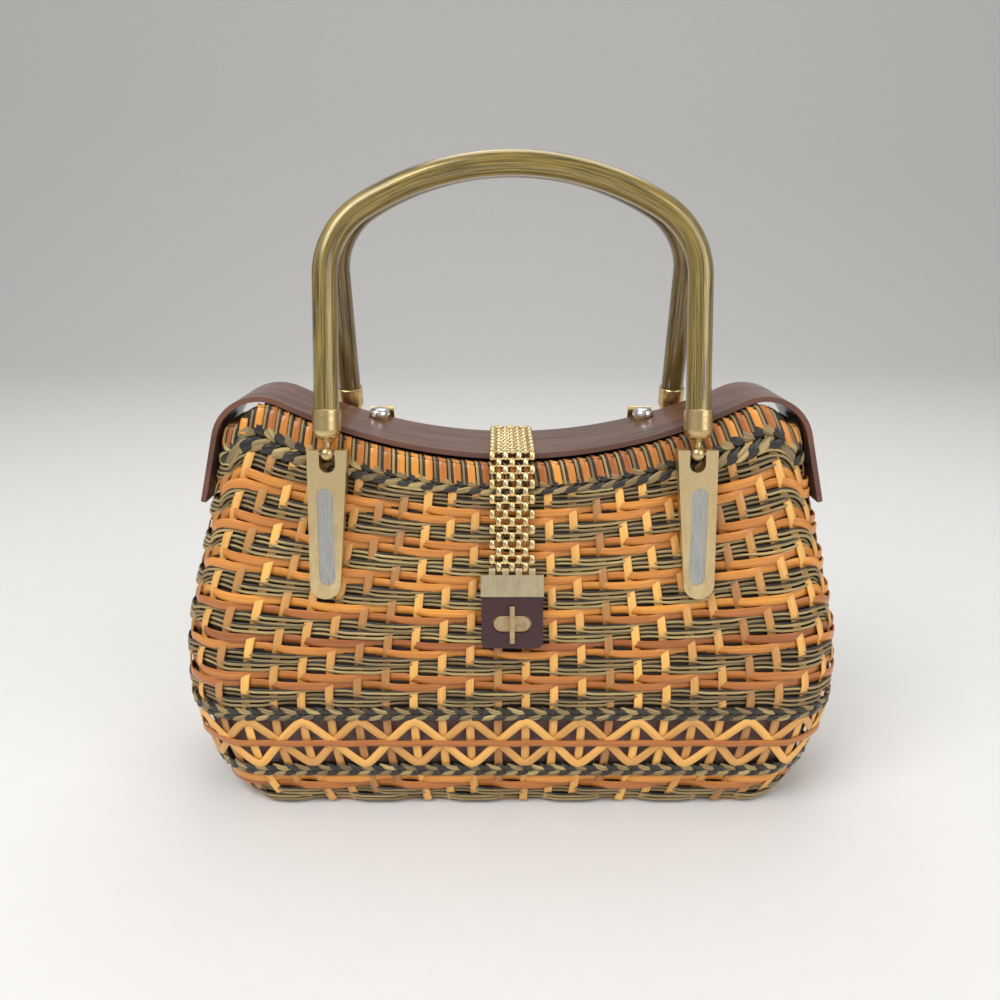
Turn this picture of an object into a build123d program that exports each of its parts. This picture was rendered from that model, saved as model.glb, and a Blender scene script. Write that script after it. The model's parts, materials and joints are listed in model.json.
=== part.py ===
from build123d import *

import os
from math import asin, atan, cos, degrees, radians, sin, sqrt

# A woven cane handbag with a sprung plastic lid strip, two swinging tube handles and a turn
# lock on a mesh strap. Millimetres, +Z up, front towards -Y, origin under the middle of the base.

# --- Basket body -------------------------------------------------------------------------
WIDEST_HALF = 143.4          # half width at the belly
BELLY_Z = 60.0
WIDTH_CURVE = 0.0045         # how fast the ends pull in above the belly
WIDTH_CURVE_LOW = 0.0054     # and below it
END_SLOPE = 0.26             # the ends run straight above this slope
DEEPEST_HALF = 48.0          # half depth at the belly
DEPTH_BELLY_Z = 35.0
DEPTH_CURVE = 0.0034
DEPTH_CURVE_LOW = 0.0033
FACE_SLOPE = 0.235           # the front and back run straight above this slope
CORNER_SHARE = 0.62          # plan corner radius as a share of the half depth
WALL = 4.0
BASE_ROUND = 5.0
SECTION_HEIGHTS = (0, 18, 36, 54, 72, 92, 112, 132, 152, 180)

# --- Saddle-shaped rim -------------------------------------------------------------------
RIM_LOW = 150.0              # rim height at the middle of the front
SADDLE_R = 226.0
SHOULDER_X = 104.0
SHOULDER_R = 18.0
RIM_TALL = 8.0
RIM_BULGE = 0.8

# --- Lining ------------------------------------------------------------------------------
LINING_GAP = 0.3
LINING = 1.2

# --- Lid ---------------------------------------------------------------------------------
LID_GAP = 1.3
LID_THICK = 2.2
LID_ARM = 30.0
LID_HALF = ((0.0, 21.5), (74.0, 19.8), (104.0, 18.0), (160.0, 16.5))   # x, half depth

# --- Handles -----------------------------------------------------------------------------
PIVOT_X = 74.3
PIVOT_Y = 31.0
PIVOT_Z = 156.0
HANDLE_RISE = 113.7          # pivot to the arch's centreline
ARCH_RISE = 44.0
ARCH_SHOULDER_R = 32.0
TUBE_R = 5.0
TUBE_WALL = 1.2
HANDLE_GAP = 0.8             # between the two arches where they lean together
FERRULE_R = 5.7
FERRULE_TOP = 17.6
SOCKET_FLOOR = 10.0
FIT = 0.05
BALL_R = 2.9
NECK_R = 1.3
PIN_R = 0.75

# --- Handle plates -----------------------------------------------------------------------
PLATE_TOP_ABOVE = 1.5        # plate top above the pivot
PLATE_LONG = 61.5
PLATE_TOP_W = 16.2
PLATE_LOW_W = 12.6
PLATE_SKIN = 1.3             # pivot axis to the plate's front face
PLATE_OFF_WALL = 0.35
PLATE_SPLAY = 2.4            # the tip stands this far outboard of the pivot
NOTCH_W = 6.4
NOTCH_DEEP = 9.0
INLAY_W = 6.4
INLAY_LONG = 40.0
INLAY_DEEP = 0.8
INLAY_BELOW_TOP = 35.5
PRONG_R = 1.2
PRONG_AT = (15.0, 48.0)      # below the plate's top
HOLE_ROOM = 0.35
BACKING = (12.0, 46.0, 0.9)

# --- Lock, tab and strap -----------------------------------------------------------------
LOCK_Z = 86.3
OVAL_W = 15.0
OVAL_H = 6.4
OVAL_ROOM = 0.55
BASE_FLANGE = (19.0, 11.0, 0.6)
TAB_W = 25.4
TAB_BELOW = 10.2
TAB_ABOVE = 18.8
TAB_THICK = 3.0
TAB_OFF_WALL = 1.1
TAB_CORNER = 2.6
CLAMP_BELOW = 11.4
CLAMP_TOP = 20.4
CLAMP_THICK = 0.9
BAR_LONG = 15.4
BAR_W = 2.1
BAR_THICK = 2.2
BAR_GAP = 0.4
POST_R = 1.2
RETAINER_R = 3.0
LINK_PITCH = 3.1
LINK_ROWS = 30
LINK_W = 2.6
LINK_END_R = 1.25
LINK_SPACING = 5.5
LINK_PIN_R = 0.5
BEND_R = 4.6
FIRST_LOOSE_ROW = 14
ROWS_PER_SEGMENT = 4
STRAP_RIDE = 0.45            # strap's clearance above the lid

# --- Hinge -------------------------------------------------------------------------------
HINGE_X = 59.0
HINGE_Y = 22.8
HINGE_ABOVE_LID = 2.0
KNUCKLE_R = 1.4
HINGE_PIN_R = 0.7
LEAF_W = 6.0
LEAF_THICK = 1.4
STUD_Y = 13.0
STUD_R = 4.6
STUD_H = 3.2
STUD_SHANK_R = 1.5

FRONT, REAR = -1, 1
LEFT, RIGHT = -1, 1
END_NAMES = {FRONT: "front", REAR: "rear"}
SIDE_NAMES = {LEFT: "left", RIGHT: "right"}


def eased(z, peak, peak_z, curve_low, curve, slope):
    """A half size at height z: a parabola about its belly that runs on straight at slope."""
    if z < peak_z:
        return peak - curve_low * (peak_z - z) ** 2
    bend = slope / (2 * curve)
    if z - peak_z <= bend:
        return peak - curve * (z - peak_z) ** 2
    return peak - curve * bend**2 - slope * (z - peak_z - bend)


def half_width(z):
    return eased(z, WIDEST_HALF, BELLY_Z, WIDTH_CURVE_LOW, WIDTH_CURVE, END_SLOPE)


def half_depth(z):
    return eased(z, DEEPEST_HALF, DEPTH_BELLY_Z, DEPTH_CURVE_LOW, DEPTH_CURVE, FACE_SLOPE)


def lid_half(x):
    """The lid strip's half depth at x."""
    for (x0, d0), (x1, d1) in zip(LID_HALF, LID_HALF[1:]):
        if abs(x) <= x1:
            return d0 + (d1 - d0) * (abs(x) - x0) / (x1 - x0)
    return LID_HALF[-1][1]


# --- Saddle curve, seen from the front ---------------------------------------------------
SADDLE_Z = RIM_LOW + SADDLE_R
SADDLE_TURN = degrees(asin(SHOULDER_X / (SADDLE_R + SHOULDER_R)))
SHOULDER_Z = SADDLE_Z - (SADDLE_R + SHOULDER_R) * cos(radians(SADDLE_TURN))
END_LEAN = degrees(atan(END_SLOPE))
FACE_LEAN = atan(FACE_SLOPE)


def saddle_height(x, gap):
    """Height of the saddle curve, raised by gap, between its shoulders."""
    return SADDLE_Z - sqrt((SADDLE_R - gap) ** 2 - x**2)


def arm_point(gap, along, side):
    """A point down the curve's straight arm at one end."""
    lean = radians(END_LEAN)
    reach = SHOULDER_R + gap
    x = SHOULDER_X + reach * cos(lean) + along * sin(lean)
    return side * x, SHOULDER_Z + reach * sin(lean) - along * cos(lean)


def saddle_arcs(gap):
    """The hollow of the saddle and its two shoulders, in an open BuildLine."""
    turn = 90 + SADDLE_TURN - END_LEAN
    CenterArc((-SHOULDER_X, SHOULDER_Z), SHOULDER_R + gap, 90 - SADDLE_TURN, turn)
    CenterArc((0, SADDLE_Z), SADDLE_R - gap, 270 - SADDLE_TURN, 2 * SADDLE_TURN)
    CenterArc((SHOULDER_X, SHOULDER_Z), SHOULDER_R + gap, 90 + SADDLE_TURN, -turn)


def body_block(grow, bottom):
    """The basket's outer form, grown or shrunk all round, from the height of its base up."""
    heights = [bottom] + [z for z in SECTION_HEIGHTS if z > bottom + 5]
    with BuildPart() as block:
        for z in heights:
            with BuildSketch(Plane.XY.offset(z)):
                depth = half_depth(z)
                RectangleRounded(
                    2 * (half_width(z) + grow), 2 * (depth + grow), CORNER_SHARE * depth + grow
                )
        loft()
        fillet(block.edges().group_by(Axis.Z)[0], BASE_ROUND)
    return block.part


def below_saddle(gap):
    """Everything under the saddle curve raised by gap."""
    beyond = WIDEST_HALF + 20
    with BuildPart() as region:
        with BuildSketch(Plane.XZ):
            with BuildLine():
                saddle_arcs(gap)
                right, left = arm_point(gap, 0, RIGHT), arm_point(gap, 0, LEFT)
                Polyline(
                    right,
                    (beyond, right[1] - 10),
                    (beyond, -10),
                    (-beyond, -10),
                    (-beyond, left[1] - 10),
                    left,
                )
            make_face()
        extrude(amount=DEEPEST_HALF + 20, both=True)
    return region.part


def leaning_plane(x, y, z, end, lean):
    """A plane on the front or rear, its y up the slope and its normal outwards."""
    return Plane(
        origin=(x, end * y, z), x_dir=(-end, 0, 0), z_dir=(0, end * cos(lean), sin(lean))
    )


def wall_point(z, off):
    """Distance of a point from the middle plane, off the front or rear wall."""
    return half_depth(z) + off


# --- Places that several pieces share ----------------------------------------------------
PLATE_TOP_Z = PIVOT_Z + PLATE_TOP_ABOVE
PLATE_TIP_Z = PLATE_TOP_Z - PLATE_LONG
PLATE_TIP_Y = wall_point(PLATE_TIP_Z, PLATE_OFF_WALL + 2 * PLATE_SKIN)
PLATE_LEAN = atan((PLATE_TIP_Y - PIVOT_Y - PLATE_SKIN) / (PIVOT_Z - PLATE_TIP_Z))
HANDLE_LEAN = asin((PIVOT_Y - TUBE_R - HANDLE_GAP / 2) / HANDLE_RISE)
LOCK_PLANE = leaning_plane(0, half_depth(LOCK_Z), LOCK_Z, FRONT, FACE_LEAN)


def plate_plane(side, end):
    """Front face of a handle plate, its origin level with the pivot."""
    return leaning_plane(
        side * PIVOT_X,
        PIVOT_Y + PLATE_SKIN * cos(PLATE_LEAN),
        PIVOT_Z + PLATE_SKIN * sin(PLATE_LEAN),
        end,
        PLATE_LEAN,
    )


def splay_at(below_top):
    """How far outboard the plate's centreline is, this far below its top."""
    return PLATE_SPLAY * below_top / PLATE_LONG


def plate_spot(side, end, below_top):
    """Local x and y on a plate's front face."""
    return -side * end * splay_at(below_top), PLATE_TOP_ABOVE - below_top


CORNERS = [(side, end) for end in (FRONT, REAR) for side in (LEFT, RIGHT)]
PRONG_LONG = 13.5
LOCK_HOLE_R = POST_R + HOLE_ROOM
HINGE_Z = saddle_height(HINGE_X, LID_GAP + LID_THICK) + HINGE_ABOVE_LID
BRACKET_LOW_Z = HINGE_Z - 22
BRACKET_PRONG_Z = BRACKET_LOW_Z + 4


def wall_drills():
    """Rods where the plates, lock and hinge brackets are fixed through the wall."""
    with BuildPart() as rods:
        for side, end in CORNERS:
            with BuildSketch(plate_plane(side, end)):
                with Locations(*[plate_spot(side, end, below) for below in PRONG_AT]):
                    Circle(PRONG_R + HOLE_ROOM)
            extrude(amount=-2 * PRONG_LONG)
        with BuildSketch(LOCK_PLANE.offset(2)):
            Circle(LOCK_HOLE_R)
        extrude(amount=-14)
        for side in (LEFT, RIGHT):
            with BuildSketch(bracket_plane(side)):
                Circle(PRONG_R + HOLE_ROOM)
            extrude(amount=-14)
    return rods.part


def bracket_plane(side):
    """Where a hinge bracket's prong starts, behind the rear wall."""
    depth = wall_point(BRACKET_PRONG_Z, RIM_BULGE + PLATE_OFF_WALL)
    return leaning_plane(side * HINGE_X, depth, BRACKET_PRONG_Z, REAR, FACE_LEAN)


def save(part, name):
    part.label = name
    export_step(part, f"parts/{name}.step")


os.makedirs("parts", exist_ok=True)

# --- Basket, rim and lining --------------------------------------------------------------
outer_block = body_block(0, 0)
inner_block = body_block(-WALL, WALL)
under_rim = below_saddle(-RIM_TALL)
drills = wall_drills()

with BuildPart() as basket:
    add(outer_block)
    add(inner_block, mode=Mode.SUBTRACT)
    add(under_rim, mode=Mode.INTERSECT)
    add(drills, mode=Mode.SUBTRACT)
save(basket.part, "basket")

with BuildPart() as rim_binding:
    add(body_block(RIM_BULGE, 0))
    add(body_block(-WALL - RIM_BULGE, WALL), mode=Mode.SUBTRACT)
    add(below_saddle(0), mode=Mode.INTERSECT)
    add(under_rim, mode=Mode.SUBTRACT)
save(rim_binding.part, "rim_binding")

with BuildPart() as lining:
    add(body_block(-WALL - LINING_GAP, WALL + LINING_GAP))
    add(
        body_block(-WALL - LINING_GAP - LINING, WALL + LINING_GAP + LINING),
        mode=Mode.SUBTRACT,
    )
    add(below_saddle(-RIM_TALL - LINING_GAP), mode=Mode.INTERSECT)
    add(drills, mode=Mode.SUBTRACT)
save(lining.part, "lining")

# --- Lid ---------------------------------------------------------------------------------
with BuildPart() as lid:
    with BuildSketch(Plane.XZ):
        with BuildLine():
            saddle_arcs(LID_GAP)
            saddle_arcs(LID_GAP + LID_THICK)
            for side in (LEFT, RIGHT):
                Polyline(
                    arm_point(LID_GAP, 0, side),
                    arm_point(LID_GAP, LID_ARM, side),
                    arm_point(LID_GAP + LID_THICK, LID_ARM, side),
                    arm_point(LID_GAP + LID_THICK, 0, side),
                )
        make_face()
    extrude(amount=LID_HALF[0][1], both=True)
    with BuildSketch(Plane.XY.offset(RIM_LOW - 60)):
        half = [(x, -d) for x, d in LID_HALF]
        right_edge = half + [(x, -y) for x, y in reversed(half)]
        Polygon(*right_edge, *[(-x, -y) for x, y in right_edge], align=None)
    extrude(amount=120, mode=Mode.INTERSECT)
    for side in (LEFT, RIGHT):
        with BuildSketch(Plane.XY.offset(RIM_LOW)):
            with Locations((side * HINGE_X, STUD_Y)):
                Circle(STUD_SHANK_R + FIT)
        extrude(amount=30, mode=Mode.SUBTRACT)
save(lid.part, "lid")

# --- Lid hinges and studs ----------------------------------------------------------------
leaf_top_z = HINGE_Z - HINGE_ABOVE_LID + LEAF_THICK
knuckle_w = 3.4
bracket_w = 10.4


def cross_rod(y, z, radius, low_x, high_x):
    """A rod along X between two places."""
    with BuildPart() as rod:
        with BuildSketch(Plane.YZ.offset(low_x)):
            with Locations((y, z)):
                Circle(radius)
        extrude(amount=high_x - low_x)
    return rod.part


def hinge_rod(side, radius, low_x, high_x):
    """A rod on the hinge axis between two distances from the leaf's middle."""
    middle = side * HINGE_X
    return cross_rod(HINGE_Y, HINGE_Z, radius, middle + low_x, middle + high_x)


def stud_bore(side):
    with BuildPart() as bore:
        with BuildSketch(Plane.XY.offset(RIM_LOW)):
            with Locations((side * HINGE_X, STUD_Y)):
                Circle(STUD_SHANK_R + FIT)
        extrude(amount=30)
    return bore.part


for side in (LEFT, RIGHT):
    name = SIDE_NAMES[side]
    edge_y = lid_half(HINGE_X)
    with BuildPart() as lid_leaf:
        with BuildSketch(Plane.YZ.offset(side * HINGE_X)):
            Polygon(
                (STUD_Y - 2.4, leaf_top_z - 2.6),
                (edge_y + 0.3, leaf_top_z - 2.6),
                (edge_y + 0.6, leaf_top_z),
                (STUD_Y - 2.4, leaf_top_z),
                align=None,
            )
        extrude(amount=LEAF_W / 2, both=True)
        add(lid.part, mode=Mode.SUBTRACT)
        with BuildSketch(Plane.YZ.offset(side * HINGE_X)):
            Polygon(
                (edge_y + 0.2, leaf_top_z - LEAF_THICK + 0.2),
                (HINGE_Y - 0.6, HINGE_Z - 1.1),
                (HINGE_Y - 0.6, HINGE_Z + 0.6),
                (edge_y + 0.2, leaf_top_z),
                align=None,
            )
        extrude(amount=knuckle_w / 2, both=True)
        add(hinge_rod(side, KNUCKLE_R, -knuckle_w / 2, knuckle_w / 2))
        add(stud_bore(side), mode=Mode.SUBTRACT)
        add(hinge_rod(side, HINGE_PIN_R + FIT, -9, 9), mode=Mode.SUBTRACT)
    save(lid_leaf.part, f"hinge_lid_leaf_{name}")

    with BuildPart() as bracket:
        off = RIM_BULGE + PLATE_OFF_WALL
        top_z = HINGE_Z - 1.2
        with BuildSketch(Plane.YZ.offset(side * HINGE_X)):
            Polygon(
                (HINGE_Y, HINGE_Z + KNUCKLE_R - 0.6),
                (wall_point(HINGE_Z, off + 1.0), HINGE_Z + KNUCKLE_R - 0.6),
                (wall_point(BRACKET_LOW_Z, off + 1.0), BRACKET_LOW_Z),
                (wall_point(BRACKET_LOW_Z, off), BRACKET_LOW_Z),
                (wall_point(top_z, off), top_z),
                (HINGE_Y, top_z),
                align=None,
            )
        extrude(amount=bracket_w / 2, both=True)
        add(
            hinge_rod(side, KNUCKLE_R + 0.35, -knuckle_w / 2 - 0.1, knuckle_w / 2 + 0.1),
            mode=Mode.SUBTRACT,
        )
        add(hinge_rod(side, KNUCKLE_R, -bracket_w / 2, -knuckle_w / 2 - 0.1))
        add(hinge_rod(side, KNUCKLE_R, knuckle_w / 2 + 0.1, bracket_w / 2))
        with BuildSketch(bracket_plane(side).offset(0.6)):
            Circle(PRONG_R)
        extrude(amount=-9)
        add(hinge_rod(side, HINGE_PIN_R + FIT, -9, 9), mode=Mode.SUBTRACT)
    save(bracket.part, f"hinge_bracket_{name}")

    hinge_pin = hinge_rod(side, HINGE_PIN_R, -bracket_w / 2, bracket_w / 2)
    save(hinge_pin, f"hinge_pin_{name}")

    under_lid = saddle_height(HINGE_X - STUD_SHANK_R - 1.2, LID_GAP) - 0.25
    with BuildPart() as stud:
        with BuildSketch(Plane.XY.offset(leaf_top_z)):
            with Locations((side * HINGE_X, STUD_Y)):
                Circle(STUD_R)
        extrude(amount=STUD_H)
        fillet(stud.edges().group_by(Axis.Z)[-1], STUD_H - 0.5)
        with BuildSketch(Plane.XY.offset(under_lid - 0.5)):
            with Locations((side * HINGE_X, STUD_Y)):
                Circle(STUD_SHANK_R)
        extrude(amount=leaf_top_z - under_lid + 1)
        with BuildSketch(Plane.XY.offset(under_lid - 0.9)):
            with Locations((side * HINGE_X, STUD_Y)):
                Circle(STUD_SHANK_R + 1.2)
        extrude(amount=0.9)
    save(stud.part, f"lid_stud_{name}")

# --- Handles, ferrules, plates -----------------------------------------------------------
arch_flat = ARCH_RISE - ARCH_SHOULDER_R
arch_in = PIVOT_X - ARCH_SHOULDER_R
ARCH_TOP_R = (arch_in**2 + ARCH_RISE**2 - ARCH_SHOULDER_R**2) / (2 * arch_flat)
ARCH_TURN = degrees(atan((ARCH_TOP_R - ARCH_RISE) / arch_in))
spring_line = HANDLE_RISE - ARCH_RISE

for end in (FRONT, REAR):
    upright = leaning_plane(0, PIVOT_Y, PIVOT_Z, end, HANDLE_LEAN)
    with BuildPart() as handle:
        with BuildLine(upright) as route:
            Line((-PIVOT_X, SOCKET_FLOOR), (-PIVOT_X, spring_line))
            CenterArc((-arch_in, spring_line), ARCH_SHOULDER_R, 180, -ARCH_TURN)
            CenterArc(
                (0, HANDLE_RISE - ARCH_TOP_R), ARCH_TOP_R, 180 - ARCH_TURN, 2 * ARCH_TURN - 180
            )
            CenterArc((arch_in, spring_line), ARCH_SHOULDER_R, ARCH_TURN, -ARCH_TURN)
            Line((PIVOT_X, spring_line), (PIVOT_X, SOCKET_FLOOR))
        with BuildSketch(Plane(origin=route.line @ 0, z_dir=route.line % 0)):
            Circle(TUBE_R)
            Circle(TUBE_R - TUBE_WALL, mode=Mode.SUBTRACT)
        sweep()
    save(handle.part, f"handle_{END_NAMES[end]}")

for side, end in CORNERS:
    name = f"{END_NAMES[end]}_{SIDE_NAMES[side]}"
    upright = leaning_plane(side * PIVOT_X, PIVOT_Y, PIVOT_Z, end, HANDLE_LEAN)
    with BuildPart() as ferrule:
        with BuildSketch(upright):
            with BuildLine():
                ball_top = sqrt(BALL_R**2 - NECK_R**2)
                ThreePointArc((0, -BALL_R), (BALL_R, 0), (NECK_R, ball_top))
                Polyline((NECK_R, ball_top), (NECK_R, 4.6), (2.4, 5.8))
                ThreePointArc((2.4, 5.8), (4.7, 7.1), (FERRULE_R, 9.5))
                Polyline(
                    (FERRULE_R, 9.5),
                    (FERRULE_R, FERRULE_TOP - 0.3),
                    (FERRULE_R - 0.3, FERRULE_TOP),
                    (TUBE_R + FIT, FERRULE_TOP),
                    (TUBE_R + FIT, SOCKET_FLOOR),
                    (0, SOCKET_FLOOR),
                    (0, -BALL_R),
                )
            make_face()
        revolve(axis=Axis(upright.origin, upright.y_dir))
        with BuildSketch(Plane.YZ.offset(side * PIVOT_X)):
            with Locations((end * PIVOT_Y, PIVOT_Z)):
                Circle(PIN_R + FIT)
        extrude(amount=BALL_R + 1, both=True, mode=Mode.SUBTRACT)
    save(ferrule.part, f"ferrule_{name}")

    with BuildPart() as pivot_pin:
        with BuildSketch(Plane.YZ.offset(side * PIVOT_X)):
            with Locations((end * PIVOT_Y, PIVOT_Z)):
                Circle(PIN_R)
        extrude(amount=PLATE_TOP_W / 2 - 1.5, both=True)
    save(pivot_pin.part, f"handle_pin_{name}")

    face = plate_plane(side, end)
    tip_x, tip_y = plate_spot(side, end, PLATE_LONG)
    round_r = PLATE_LOW_W / 2
    with BuildPart() as plate:
        with BuildSketch(face):
            with BuildLine():
                Polyline(
                    (tip_x - round_r, tip_y + round_r),
                    (-PLATE_TOP_W / 2, PLATE_TOP_ABOVE),
                    (PLATE_TOP_W / 2, PLATE_TOP_ABOVE),
                    (tip_x + round_r, tip_y + round_r),
                )
                ThreePointArc(
                    (tip_x + round_r, tip_y + round_r),
                    (tip_x, tip_y),
                    (tip_x - round_r, tip_y + round_r),
                )
            make_face()
        extrude(amount=-12)
        with BuildSketch(Plane.YZ.offset(side * PIVOT_X)):
            back_off = RIM_BULGE + PLATE_OFF_WALL
            Polygon(
                (end * wall_point(PLATE_TOP_Z + 3, back_off), PLATE_TOP_Z + 3),
                (end * wall_point(PLATE_TIP_Z - 3, back_off - 0.6), PLATE_TIP_Z - 3),
                (end * (PLATE_TIP_Y + 10), PLATE_TIP_Z - 3),
                (end * (PLATE_TIP_Y + 10), PLATE_TOP_Z + 3),
                align=None,
            )
        extrude(amount=PLATE_TOP_W, both=True, mode=Mode.INTERSECT)
        with BuildSketch(face):
            with Locations((0, PLATE_TOP_ABOVE - NOTCH_DEEP + NOTCH_W / 2)):
                Circle(NOTCH_W / 2)
            with Locations((0, PLATE_TOP_ABOVE - NOTCH_DEEP / 2 + NOTCH_W / 4 + 1)):
                Rectangle(NOTCH_W, NOTCH_DEEP - NOTCH_W / 2 + 2)
        extrude(amount=-12, mode=Mode.SUBTRACT)
        with BuildSketch(face):
            with Locations(plate_spot(side, end, INLAY_BELOW_TOP)):
                SlotOverall(INLAY_LONG, INLAY_W, rotation=90)
        extrude(amount=-INLAY_DEEP, mode=Mode.SUBTRACT)
        with BuildSketch(face.offset(-2 * PLATE_SKIN)):
            with Locations(*[plate_spot(side, end, below) for below in PRONG_AT]):
                Circle(PRONG_R)
        extrude(amount=-PRONG_LONG)
        with BuildSketch(Plane.YZ.offset(side * PIVOT_X)):
            with Locations((end * PIVOT_Y, PIVOT_Z)):
                Circle(PIN_R + 0.02)
        extrude(amount=PLATE_TOP_W / 2 - 1.4, both=True, mode=Mode.SUBTRACT)
    save(plate.part, f"handle_plate_{name}")

    with BuildPart() as inlay:
        with BuildSketch(face.offset(-INLAY_DEEP)):
            with Locations(plate_spot(side, end, INLAY_BELOW_TOP)):
                SlotOverall(INLAY_LONG - 2 * FIT, INLAY_W - 2 * FIT, rotation=90)
        extrude(amount=INLAY_DEEP - 0.15)
    save(inlay.part, f"plate_inlay_{name}")

    middle_z = PLATE_TOP_Z - (PRONG_AT[0] + PRONG_AT[1]) / 2
    inside = WALL + LINING_GAP + LINING + LINING_GAP
    inner_face = leaning_plane(
        side * (PIVOT_X + splay_at(sum(PRONG_AT) / 2)),
        wall_point(middle_z, -inside / cos(FACE_LEAN)),
        middle_z,
        end,
        FACE_LEAN,
    )
    with BuildPart() as backing:
        with BuildSketch(inner_face):
            RectangleRounded(BACKING[0], BACKING[1], 2.5)
        extrude(amount=-BACKING[2])
        with BuildSketch(face):
            with Locations(*[plate_spot(side, end, below) for below in PRONG_AT]):
                Circle(PRONG_R + FIT)
        extrude(amount=-2 * PRONG_LONG, mode=Mode.SUBTRACT)
    save(backing.part, f"backing_plate_{name}")

# --- Turn lock ---------------------------------------------------------------------------
tab_front = TAB_OFF_WALL + TAB_THICK
bar_low = tab_front + BAR_GAP

with BuildPart() as lock_base:
    with BuildSketch(LOCK_PLANE.offset(0.3)):
        RectangleRounded(BASE_FLANGE[0], BASE_FLANGE[1], 2)
    extrude(amount=BASE_FLANGE[2])
    with BuildSketch(LOCK_PLANE.offset(0.3)):
        SlotOverall(OVAL_W, OVAL_H)
    extrude(amount=tab_front - 0.7)
    with BuildSketch(LOCK_PLANE):
        Circle(POST_R + FIT)
    extrude(amount=tab_front, mode=Mode.SUBTRACT)
save(lock_base.part, "lock_base")

inside = WALL + LINING_GAP + LINING + LINING_GAP
with BuildPart() as turn_knob:
    with BuildSketch(LOCK_PLANE.offset(bar_low)):
        Rectangle(BAR_W, BAR_LONG)
    extrude(amount=BAR_THICK)
    fillet(turn_knob.faces().sort_by(Axis(LOCK_PLANE.origin, LOCK_PLANE.z_dir))[-1].edges(), 0.5)
    with BuildSketch(LOCK_PLANE.offset(bar_low + 0.1)):
        Circle(POST_R)
    extrude(amount=-(bar_low + 0.1 + inside + 2.6))
    with BuildSketch(LOCK_PLANE.offset(-inside - 1.2)):
        Circle(RETAINER_R)
    extrude(amount=-0.9)
save(turn_knob.part, "turn_knob")

with BuildPart() as lock_backing:
    with BuildSketch(LOCK_PLANE.offset(-inside)):
        RectangleRounded(16, 12, 2)
        Circle(POST_R + FIT, mode=Mode.SUBTRACT)
    extrude(amount=-0.9)
save(lock_backing.part, "lock_backing")

with BuildPart() as tab:
    with BuildSketch(LOCK_PLANE.offset(TAB_OFF_WALL)):
        with Locations((0, (TAB_ABOVE - TAB_BELOW) / 2)):
            RectangleRounded(TAB_W, TAB_ABOVE + TAB_BELOW, TAB_CORNER)
        SlotOverall(OVAL_W + 2 * OVAL_ROOM, OVAL_H + 2 * OVAL_ROOM, mode=Mode.SUBTRACT)
    extrude(amount=TAB_THICK)
save(tab.part, "strap_tab")

EAR_COLUMNS = (-1.5, -0.5, 0.5, 1.5)
clamp_skin = TAB_OFF_WALL - CLAMP_THICK
with BuildPart() as clamp:
    with BuildSketch(LOCK_PLANE.offset(clamp_skin)):
        with Locations((0, (CLAMP_TOP + CLAMP_BELOW) / 2)):
            Rectangle(TAB_W + 0.4, CLAMP_TOP - CLAMP_BELOW)
    extrude(amount=TAB_THICK + 2 * CLAMP_THICK)
    with BuildSketch(LOCK_PLANE.offset(TAB_OFF_WALL)):
        with Locations((0, (TAB_ABOVE + CLAMP_BELOW) / 2 - 1)):
            Rectangle(TAB_W + 2, TAB_ABOVE - CLAMP_BELOW + 2.2)
    extrude(amount=TAB_THICK, mode=Mode.SUBTRACT)
    last_pin_up = CLAMP_TOP + LINK_END_R + 0.25
    with BuildSketch(LOCK_PLANE.offset(TAB_OFF_WALL + TAB_THICK / 2)):
        for column in EAR_COLUMNS:
            with Locations((column * LINK_SPACING, (CLAMP_TOP + last_pin_up) / 2)):
                Rectangle(LINK_W, last_pin_up - CLAMP_TOP + 0.01)
    extrude(amount=LINK_END_R, both=True)
    for column in EAR_COLUMNS:
        last_pin = LOCK_PLANE.offset(TAB_OFF_WALL + TAB_THICK / 2).from_local_coords(
            Vector(0, last_pin_up, 0)
        )
        with BuildSketch(Plane.YZ.offset(column * LINK_SPACING)):
            with Locations((last_pin.Y, last_pin.Z)):
                Circle(LINK_END_R)
        extrude(amount=LINK_W / 2, both=True)
        with BuildSketch(Plane.YZ.offset(column * LINK_SPACING)):
            with Locations((last_pin.Y, last_pin.Z)):
                Circle(LINK_PIN_R + FIT)
        extrude(amount=LINK_W, both=True, mode=Mode.SUBTRACT)
save(clamp.part, "strap_clamp")

# --- Mesh strap --------------------------------------------------------------------------
# The strap's middle line in the Y-Z plane runs back over the lid, round its front edge and
# down to the clamp. Pins stand along it at one pitch, and links join each pin to the next.
strap_z = RIM_LOW + LID_GAP + LID_THICK + STRAP_RIDE + LINK_END_R
drop = (last_pin.Z - strap_z, last_pin.Y)
bend_y = -LID_HALF[0][1] - 1.5
drop_turn = atan((strap_z - last_pin.Z - BEND_R) / (bend_y - last_pin.Y - BEND_R * 0.8))
for _ in range(30):
    end_y = bend_y - BEND_R * sin(drop_turn)
    end_z = strap_z - BEND_R * (1 - cos(drop_turn))
    drop_turn = atan((end_z - last_pin.Z) / (end_y - last_pin.Y))
drop_long = sqrt((end_y - last_pin.Y) ** 2 + (end_z - last_pin.Z) ** 2)
bend_long = BEND_R * drop_turn


def strap_point(back):
    """A point on the strap's middle line, this far back from the clamp's pin."""
    if back <= drop_long:
        share = back / drop_long
        return (
            last_pin.Y + share * (end_y - last_pin.Y),
            last_pin.Z + share * (end_z - last_pin.Z),
        )
    if back <= drop_long + bend_long:
        turn = drop_turn - (back - drop_long) / BEND_R
        return bend_y - BEND_R * sin(turn), strap_z - BEND_R * (1 - cos(turn))
    return bend_y + (back - drop_long - bend_long), strap_z


strap_pins = [strap_point((LINK_ROWS - i) * LINK_PITCH) for i in range(LINK_ROWS + 1)]


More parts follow.
